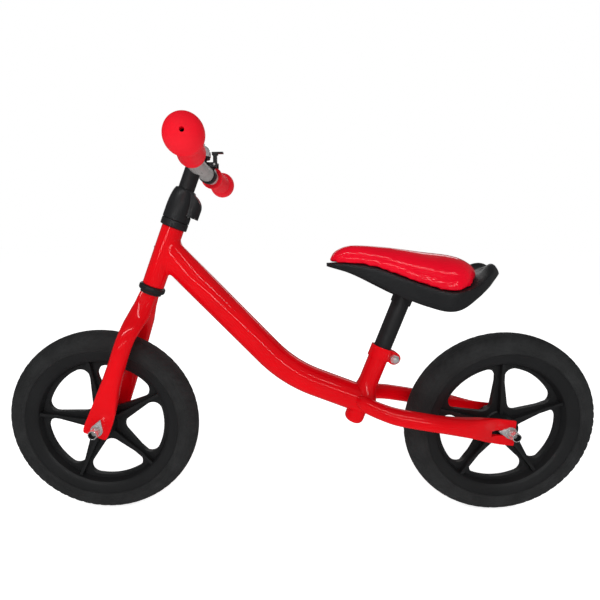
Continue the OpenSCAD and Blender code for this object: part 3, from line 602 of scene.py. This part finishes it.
def refined(node, width):
    """The CAD node's own shape with its edges rounded off, in place of the node."""
    sharp, facets = 28, 2
    bm = bmesh.new()
    bm.from_mesh(NODES[node].data)
    bmesh.ops.remove_doubles(bm, verts=bm.verts, dist=2e-6)
    bmesh.ops.dissolve_limit(
        bm, angle_limit=math.radians(0.6), verts=bm.verts, edges=bm.edges, delimit={"NORMAL"}
    )
    edges = [e for e in bm.edges if e.is_manifold and e.calc_face_angle(0) > math.radians(sharp)]
    bmesh.ops.bevel(
        bm, geom=edges, offset=width * MM, offset_type="OFFSET", segments=facets, profile=0.6,
        affect="EDGES", clamp_overlap=True,
    )
    bmesh.ops.triangulate(bm, faces=[f for f in bm.faces if len(f.verts) > 4])
    mesh = bpy.data.meshes.new(node + "_rounded")
    bm.to_mesh(mesh)
    bm.free()
    obj = bpy.data.objects.new(node + "_rounded", mesh)
    bpy.context.scene.collection.objects.link(obj)
    mesh.shade_smooth()
    mesh.set_sharp_from_angle(angle=math.radians(50))
    weigh = obj.modifiers.new("weigh", "WEIGHTED_NORMAL")
    weigh.keep_sharp = True
    apply_modifiers(obj)
    return dress(obj, slot_of(node), body_of(node), [node])


def paint_shade_in_bores(obj):
    """Paints shade into the bores in the ends of the axle sleeves with a near-black matt material, and
    leaves other pieces alone.
    """
    if not obj.name.endswith("axle_sleeves_rounded"):
        return
    axle_x = AXLE_X if obj.name.startswith("front") else -AXLE_X
    # Faces inside the bore radius take the near-black material, as painted shade in the hole
    obj.data.materials.append(BORE_PAINTED_SHADE)
    for face in obj.data.polygons:
        x, y, z = face.center / MM
        face.material_index = math.hypot(x - axle_x, z - WHEEL_R) < SLEEVE_BORE_R + 0.06


def slot_of(node):
    return next(s["material_slot"] for s in frame["record"]["subparts"] if s["node"] == node)


def body_of(node):
    return next(b for b, nodes in frame["record"]["behaviour"]["bodies"].items() if node in nodes)


def make_bushes():
    """Headset bushes: thick rings with fully rounded edges at the ends of the head tube."""
    inner, outer = 13.4, 18.7
    for name, low, high, soft in (
        ("lower_headset_bush", HEAD_LOW - 9.5, HEAD_LOW, 3.6),
        ("upper_headset_bush", HEAD_HIGH, HEAD_HIGH + 10.5, 1.5),
    ):
        flat = outer - soft
        profile = [(inner, low), (flat, low)]
        for a in steps(0, math.pi / 2, 8)[1:]:
            profile.append((flat + soft * math.sin(a), low + soft - soft * math.cos(a)))
        for a in steps(0, math.pi / 2, 8):
            profile.append((flat + soft * math.cos(a), high - soft + soft * math.sin(a)))
        profile.append((inner, high))
        verts, faces = revolve(profile, 72, closed=True)
        piece(name + "_ring", verts, faces, "black_plastic", body_of(name), [name], STEERING)


# ---------------------------------------------------------------- tyres


def groove(value, half_width):
    """Depth of a soft-edged groove, from 0 to 1, by the distance from its middle."""
    t = max(0.0, 1 - abs(value) / half_width)
    return t * t * (3 - 2 * t)


def tread_depth(phi, theta, lugs):
    """How far the tyre's skin lies below its full round, at phi off the crown and theta round it."""
    side = abs(phi)
    depth = 0.0
    # Fine moulded rings on the side
    for at in (104, 96, 72):
        depth = max(depth, 0.45 * groove(side - at, 2.6))
    # Ring groove between the crown and the shoulder
    depth = max(depth, 0.8 * groove(side - 27, 3.4))
    pitch = 2 * math.pi / lugs
    if 29 < side < 62:
        skew = (side - 45) / 62 * 1.1
        k = ((theta / pitch + skew + (0.5 if phi > 0 else 0)) % 1) - 0.5
        fade = min(1, (side - 29) / 4, (62 - side) / 6)
        depth = max(depth, 1.0 * groove(k, 0.24) * fade)
    elif side < 24:
        wave = abs(((theta / pitch) % 1) - 0.5) * 4 - 1
        depth = max(depth, 0.8 * groove(phi - 6 * wave, 3.6))
        k = ((theta / pitch + (0.25 if phi > 0 else 0.75)) % 1) - 0.5
        depth = max(depth, 0.7 * groove(k, 0.16) * min(1, max(0, (side - 9) / 3)))
    return depth


def make_tyre(name, node, body, centre):
    lugs, around = 64, 64 * 6
    last = math.degrees(math.acos((SEAM_R - TYRE_CENTRE) / TYRE_R))
    across = steps(-last, last, 92)
    verts, faces = [], []
    n = len(across) + 2
    for k in range(around):
        theta = 2 * math.pi * k / around
        c, s = math.cos(theta), math.sin(theta)
        row = []
        for phi in across:
            r = TYRE_R - tread_depth(phi, theta, lugs)
            a = math.radians(phi)
            row.append((TYRE_CENTRE + r * math.cos(a), r * math.sin(a)))
        row += [(SEAM_R - 2.2, 14), (SEAM_R - 2.2, -14)]
        verts += [(r * c, y, r * s) for r, y in row]
    for k in range(around):
        for i in range(n):
            j, m = (i + 1) % n, (k + 1) % around
            faces.append((k * n + i, k * n + j, m * n + j, m * n + i))
    piece(name, verts, faces, "tyre", body, [node], move(*centre), sharp=60)


# ---------------------------------------------------------------- grips


def make_grips():
    """Waisted grip with a flange inside and a ball outside; the ball has a small vent."""
    bulb_s, grip_s = 129.1, 55.1
    ball_r, neck_r, rim_r, vent = 20.9, 15.6, 16.9, 2.4
    # Half lengths of the ball towards the hand and towards the outer end
    inward, outward = 18.6, 16
    soft, rim_l, fall_l = 1.6, 3.6, 9.4
    ribs_s, rib_pitch, rib_depth = grip_s + 15, 4.2, 0.35
    end = bulb_s + 8
    turn_in = math.degrees(math.asin(neck_r / ball_r))
    profile = [(BAR_R, grip_s), (rim_r - soft, grip_s)]
    for a in steps(0, math.pi / 2, 8)[1:]:
        profile.append((rim_r - soft + soft * math.sin(a), grip_s + soft - soft * math.cos(a)))
    profile.append((rim_r, grip_s + rim_l))
    for a in steps(0, math.pi, 14)[1:]:
        r = neck_r + (rim_r - neck_r) * (0.5 + 0.5 * math.cos(a))
        profile.append((r, grip_s + rim_l + fall_l * a / math.pi))
    start = bulb_s - inward * math.cos(math.radians(turn_in))
    for s in steps(ribs_s, start - 5, 44):
        # Shallow finger ribs round the hand part
        rib = 0.5 - 0.5 * math.cos(2 * math.pi * (s - ribs_s) / rib_pitch)
        profile.append((neck_r - rib_depth * rib**3, s))
    for t in steps(180 - turn_in, 7.5, 46):
        half = inward if t > 90 else outward
        a = math.radians(t)
        profile.append((ball_r * math.sin(a), bulb_s + half * math.cos(a)))
    tip = profile[-1][1]
    profile += [(vent + 0.12, tip - 0.05), (vent, tip - 0.45), (vent, end), (BAR_R, end)]
    verts, faces = revolve(profile, 96, closed=True)
    for node, side in (("left_grip", HERE), ("right_grip", MIRROR)):
        piece(node + "_skin", verts, faces, "grip", "handlebar", [node], side @ BAR_LEFT)


# ---------------------------------------------------------------- saddle


# Saddle outline by distance behind the nose: height of the base's edge, of its lowest rim and of
# the pad's crown, half width of base and pad, and how much the top of the base rises in the middle,
# and at the tail rolls down at its sides and dips in its middle
EDGE_Z = [(0, 387), (38, 384), (66, 379), (90, 370.5), (115, 361.5), (148, 352), (168, 353),
          (190, 361), (208, 376), (220, 386.5), (230, 387.5), (239, 381.5), (246, 374.5)]
RIM_Z = [(0, 382), (38, 370.5), (87, 348), (108, 338.5), (127, 332), (150, 327), (170, 330.5),
         (192, 344.5), (220, 362.5), (238, 370), (246, 372)]
CROWN_Z = [(3, 389.5), (8, 400.5), (18, 408.5), (34, 412.8), (82, 410), (132, 403), (170, 399.5),
           (192, 391), (208, 377)]
HALF_W = [(0, 14), (10, 15.5), (38, 20.5), (66, 26.5), (90, 35), (115, 48.5), (138, 60), (155, 64.5),
          (172, 62.5), (192, 56), (210, 45), (225, 34), (246, 19)]
PAD_HALF_W = [(3, 12), (10, 14.7), (38, 19), (66, 24.6), (90, 33), (115, 46.5), (138, 57.8), (155, 62),
              (170, 60), (181, 53), (189, 45), (208, 30)]
MIDDLE_RISE = [(0, 0), (30, 4), (110, 8), (185, 8), (208, 0), (246, 0)]
TAIL_ROLL = [(0, 0), (185, 0), (205, 3), (220, 11), (232, 14), (246, 2)]
TAIL_DISH = [(0, 0), (204, 0), (214, 4), (224, 6), (234, 3), (246, 0)]


def base_w(d):
    return smooth(HALF_W, d) * round_end(d + 1, 12) * round_end(SADDLE_L + 0.6 - d, 38)


def pad_w(d):
    return smooth(PAD_HALF_W, d) * round_end(d - 2.9, 14) * round_end(PAD_END + 0.1 - d, 22)


def tail_roll(d):
    return max(0, min(smooth(TAIL_ROLL, d), 0.75 * (smooth(EDGE_Z, d) - smooth(RIM_Z, d))))


def base_top(d, y):
    """Height of the base's upper face."""
    q = min(abs(y) / max(base_w(d), 1), 1)
    t = max(0, (q - 0.45) / 0.55)
    roll = tail_roll(d) * (1 - math.sqrt(max(0, 1 - t * t)))
    dish = max(0, smooth(TAIL_DISH, d)) * max(0, 1 - 4 * q * q)
    return smooth(EDGE_Z, d) + max(0, smooth(MIDDLE_RISE, d)) * (1 - q * q) - roll - dish


def make_saddle_base():
    """Moulded shell: a wall with a rolled upper edge, a crowned floor under the pad, a dished tail."""
    wall, lip, lean = 3.0, 1.6, 1.5
    rings = []
    stops = [0.3, 0.8, 1.6, 3, 5, 8] + steps(11, 225, 56)
    stops += [229, 232.5, 236, 239, 241.5, 243.6, 245, 245.7]
    for d in stops:
        w = max(base_w(d), 1.5)
        low, x = smooth(RIM_Z, d), NOSE_X - d
        hollow = min(1, max(0, (d - 6) / 10), max(0, (232 - d) / 10))
        roll = tail_roll(d)
        soft = min(lip, w * 0.3) * max(0, 1 - roll / 4)
        edge, chamfer = smooth(EDGE_Z, d) - roll, 0.9 * max(0.1, 1 - roll / 5)
        top_w = w - soft
        # From the outer bottom edge up the wall, over the lip, to the middle
        half = [(w - lean - chamfer, low), (w - lean, low + chamfer)]
        for u in steps(0, 1, 4)[1:]:
            half.append((w - lean + lean * u, low + chamfer + (edge - soft - low - chamfer) * u))
        for a in steps(0, math.pi / 2, 5)[1:]:
            half.append((top_w + soft * math.cos(a), edge - soft + soft * math.sin(a)))
        for a in steps(0, math.pi / 2, 18)[1:]:
            half.append((top_w * math.cos(a), base_top(d, top_w * math.cos(a))))
        # From the middle of the hollow below to its rim
        rim = low + 0.4
        floor_z = [rim + hollow * (base_top(d, y) - 3.4 - rim) for y in (0, w * 0.5, w - wall)]
        inner = max(w - wall - lean, 0.2)
        under = [
            (inner * 0.45, floor_z[1]), (inner * 0.85, floor_z[2]),
            (inner, floor_z[2] - hollow * 2), (inner, rim),
        ]
        loop = [(-y, z) for y, z in half[:-1]] + [half[-1]] + half[-2::-1]
        loop += under[::-1] + [(0, floor_z[0])] + [(-y, z) for y, z in under]
        rings.append([(x, y, z) for y, z in loop])
    verts, faces = loft(rings)
    piece("saddle_base_shell", verts, faces, "black_plastic", "saddle", ["saddle_base"], sharp=48)


def pad_section(d, shrink):
    """Outline of the pad at the distance d behind the nose: crowned above, lying on the base below."""
    count, under = 60, 26
    w, x = pad_w(d) - shrink, NOSE_X - d
    low = smooth(EDGE_Z, d) + 0.5
    h = max(smooth(CROWN_Z, d) - low - shrink, 1)
    ring = []
    for i in range(count + 1):
        y, z = oval(math.pi * i / count, w, h, 2.7)
        ring.append((x, -y, max(low + z, base_top(d, y) + 0.8)))
    for i in range(1, under):
        y = w * math.cos(math.pi * i / under)
        ring.append((x, y, base_top(d, y) + 0.7))
    return ring


def make_saddle_pad():
    """Foam pad under a stretched vinyl cover: cloth blown up over the pad's shape, then creased."""
    shrink = 0.9
    stops = [3.25, 3.8, 4.8, 6.4, 8.6, 11.5] + steps(15, 200, 52) + [203, 205, 206.5, 207.4, 207.8]
    verts, faces = loft([pad_section(d, shrink if 12 < d < 196 else 0.3) for d in stops])
    obj = piece("saddle_pad_cover", verts, faces, "saddle_cover", "saddle", ["saddle_pad"], sharp=180)
    remesh = obj.modifiers.new("remesh", "REMESH")
    remesh.mode, remesh.voxel_size = "VOXEL", 0.004
    apply_modifiers(obj)
    rest = [v.co.copy() for v in obj.data.vertices]
    blow_up(obj, rest, 0.0035)
    divide = obj.modifiers.new("divide", "SUBSURF")
    divide.levels = divide.render_levels = 1
    apply_modifiers(obj)
    crease_cover(obj.data)
    obj.data.materials.clear()
    obj.data.materials.append(MATERIALS["saddle_cover"])
    obj.data.shade_smooth()


def blow_up(obj, rest, cap):
    """Cloth with air pressure inside; each point moves at most cap from where it started."""
    low = obj.vertex_groups.new(name="held")
    for i, p in enumerate(rest):
        d = NOSE_X - p.x / MM
        if p.z / MM < base_top(min(max(d, 3), PAD_END), p.y / MM) + 3.5:
            low.add([i], 1.0, "REPLACE")
    cloth = obj.modifiers.new("cloth", "CLOTH")
    settings = cloth.settings
    settings.use_pressure = True
    settings.uniform_pressure_force = 4
    settings.effector_weights.gravity = 0
    settings.vertex_group_mass = "held"
    settings.tension_stiffness = settings.compression_stiffness = 25
    settings.bending_stiffness = 0.4
    scene = bpy.context.scene
    scene.frame_start, scene.frame_end = 1, 20
    for step in range(1, 21):
        scene.frame_set(step)
    apply_modifiers(obj)
    scene.frame_set(1)
    for v, start in zip(obj.data.vertices, rest):
        shift = v.co - start
        if shift.length > cap:
            v.co = start + shift * (cap / shift.length)


# Creases in the cover: middle (distance behind the nose, height share up the side), length along
# the saddle, direction in degrees, half width and depth, all in millimetres but the share
CREASES = [
    (26, 0.18, 18, 14, 1.7, 0.28), (46, 0.12, 16, -10, 1.5, 0.22), (72, 0.14, 16, 16, 1.6, 0.22),
    (100, 0.16, 15, -48, 1.8, 0.30), (126, 0.22, 26, 14, 2.2, 0.34), (142, 0.36, 34, -8, 2.6, 0.30),
    (151, 0.20, 22, 20, 2.0, 0.32), (176, 0.32, 24, -22, 2.2, 0.26),
]


def crease_cover(mesh):
    """Presses shallow folds into the sides of the cover and ripples its hem."""
    for v in mesh.vertices:
        x, y, z = v.co / MM
        d = NOSE_X - x
        if not 3 <= d <= PAD_END:
            continue
        w, floor_z = max(pad_w(d), 2), base_top(d, y) + 0.5
        height = max(smooth(CROWN_Z, d) - floor_z, 2)
        share = (z - floor_z) / height
        if share < 0.04:
            continue
        side = min(1, max(0, (abs(y) / w - 0.45) / 0.3))
        push = 0.0
        for at, up, length, angle, half_width, depth in CREASES:
            if y < 0:
                at, up = at + 9, up * 0.8 + 0.06
            a = math.radians(angle)
            along, over = d - at, (share - up) * height
            u = along * math.cos(a) + over * math.sin(a)
            t = over * math.cos(a) - along * math.sin(a) + 1.2 * math.sin(u * 0.35)
            reach = max(0, 1 - (2 * u / length) ** 2)
            fold = groove(t, half_width) - 0.45 * groove(t - half_width * 1.3, half_width)
            push += depth * reach * fold
        hem = max(0, 1 - share / 0.22)
        ripple = noise.noise(Vector((d * 0.08, y * 0.03, 4.0))) * 0.35 * hem
        soft = noise.noise(Vector((d * 0.03, y * 0.04, share * 1.5))) * 0.3 * side
        v.co -= v.normal * MM * (push * side + ripple * side + soft)


def build():
    make_main_tube()
    make_head_tube()
    make_seat_tube()
    make_stays()
    make_fork_legs()
    make_rivet()
    make_bushes()
    make_grips()
    make_tyre("front_tyre_skin", "front_tyre", "front_wheel", (AXLE_X, 0, WHEEL_R))
    make_tyre("rear_tyre_skin", "rear_tyre", "rear_wheel", (-AXLE_X, 0, WHEEL_R))
    for node, width in ROUNDED.items():
        paint_shade_in_bores(refined(node, width))
    make_saddle_base()
    make_saddle_pad()


ROUNDED = {
    "front_rim": 0.8, "rear_rim": 0.8, "stem_cover": 0.6, "seat_clamp": 0.7, "seat_clamp_bolt": 0.35,
    "front_tab_washers": 0.25, "rear_tab_washers": 0.25, "front_axle_nuts": 0.3, "rear_axle_nuts": 0.3,
    "front_axle_sleeves": 0.35, "rear_axle_sleeves": 0.35, "bell_base": 0.4, "bell_lever": 0.4,
    "bell_dome": 0.2, "stem_tube": 0.3, "saddle_bracket": 0.5, "seatpost": 0.3, "saddle_screws": 0.3,
}

finish_cad_nodes()
build()


# ---------------------------------------------------------------- camera, light and floor

# Strength of the white surroundings as fill light and in reflections; half the floor's width in metres
FILL, REFLECTED = 0.32, 0.09
FLOOR_HALF = 40


def studio():
    camera = bpy.data.cameras.new("camera")
    camera.lens, camera.sensor_width = 21.855, 36
    camera.shift_x, camera.shift_y = 0.0512, 0.0185
    camera.clip_start = 0.01
    view = bpy.data.objects.new("camera", camera)
    view.location = (0.0519, 0.52746, 0.4082)
    view.rotation_euler = [math.radians(a) for a in (80.0908, -0.352, -179.984)]
    bpy.context.scene.collection.objects.link(view)
    bpy.context.scene.camera = view

    world = bpy.data.worlds.new("studio")
    world.use_nodes = True
    bpy.context.scene.world = world
    # White behind the object, dimmer as fill light and dimmer still in reflections
    nodes, links = world.node_tree.nodes, world.node_tree.links
    path = nodes.new("ShaderNodeLightPath")
    strength = FILL
    for output, extra in (("Is Camera Ray", 1 - FILL), ("Is Glossy Ray", REFLECTED - FILL)):
        step = nodes.new("ShaderNodeMath")
        step.operation = "MULTIPLY_ADD"
        links.new(path.outputs[output], step.inputs[0])
        step.inputs[1].default_value = extra
        if isinstance(strength, float):
            step.inputs[2].default_value = strength
        else:
            links.new(strength, step.inputs[2])
        strength = step.outputs[0]
    nodes["Background"].inputs["Color"].default_value = (1, 1, 1, 1)
    links.new(strength, nodes["Background"].inputs["Strength"])

    def softbox(name, at, width, height, power, in_gloss):
        """Rectangular lamp aimed at the bike, seen either in its gloss or in its plain shading."""
        light = bpy.data.lights.new(name, "AREA")
        light.shape, light.size, light.size_y, light.energy = "RECTANGLE", width, height, power
        lamp = bpy.data.objects.new(name, light)
        lamp.location = at
        aim = Vector((0, 0, 0.25)) - Vector(at)
        lamp.rotation_euler = aim.to_track_quat("-Z", "Y").to_euler()
        lamp.visible_glossy, lamp.visible_diffuse = in_gloss, not in_gloss
        bpy.context.scene.collection.objects.link(lamp)

    softbox("key", (0.5, 2.1, 1.9), 2.2, 1.4, 40, False)
    softbox("rear_key", (-0.4, -2.1, 1.7), 2.2, 1.4, 12, False)
    softbox("strip_level", (0.1, 2.3, 0.62), 3.2, 0.05, 6, True)
    softbox("strip_high", (0.1, 1.5, 1.75), 3.2, 0.06, 8, True)
    softbox("strip_rear", (0.0, -1.9, 1.3), 3.2, 0.3, 6, True)

    # Large white floor with a glow of its own, so it stays white to the horizon
    mesh = bpy.data.meshes.new("floor")
    corners = [(x * FLOOR_HALF, y * FLOOR_HALF, 0) for x, y in ((-1, -1), (1, -1), (1, 1), (-1, 1))]
    mesh.from_pydata(corners, [], [(0, 1, 2, 3)])
    floor = bpy.data.objects.new("floor", mesh)
    bpy.context.scene.collection.objects.link(floor)
    n = Nodes("studio_paper")
    n.set(
        Base_Color=n.mix(n.noise(3, 2), (0.93, 0.93, 0.93, 1), (0.95, 0.95, 0.95, 1)),
        Roughness=0.9,
        Specular_IOR_Level=0.0,
        Emission_Color=(1, 1, 1, 1),
        Emission_Strength=0.7,
    )
    mesh.materials.append(n.material)
    floor.visible_glossy = False
    bpy.context.scene.view_settings.view_transform = "Standard"


studio()
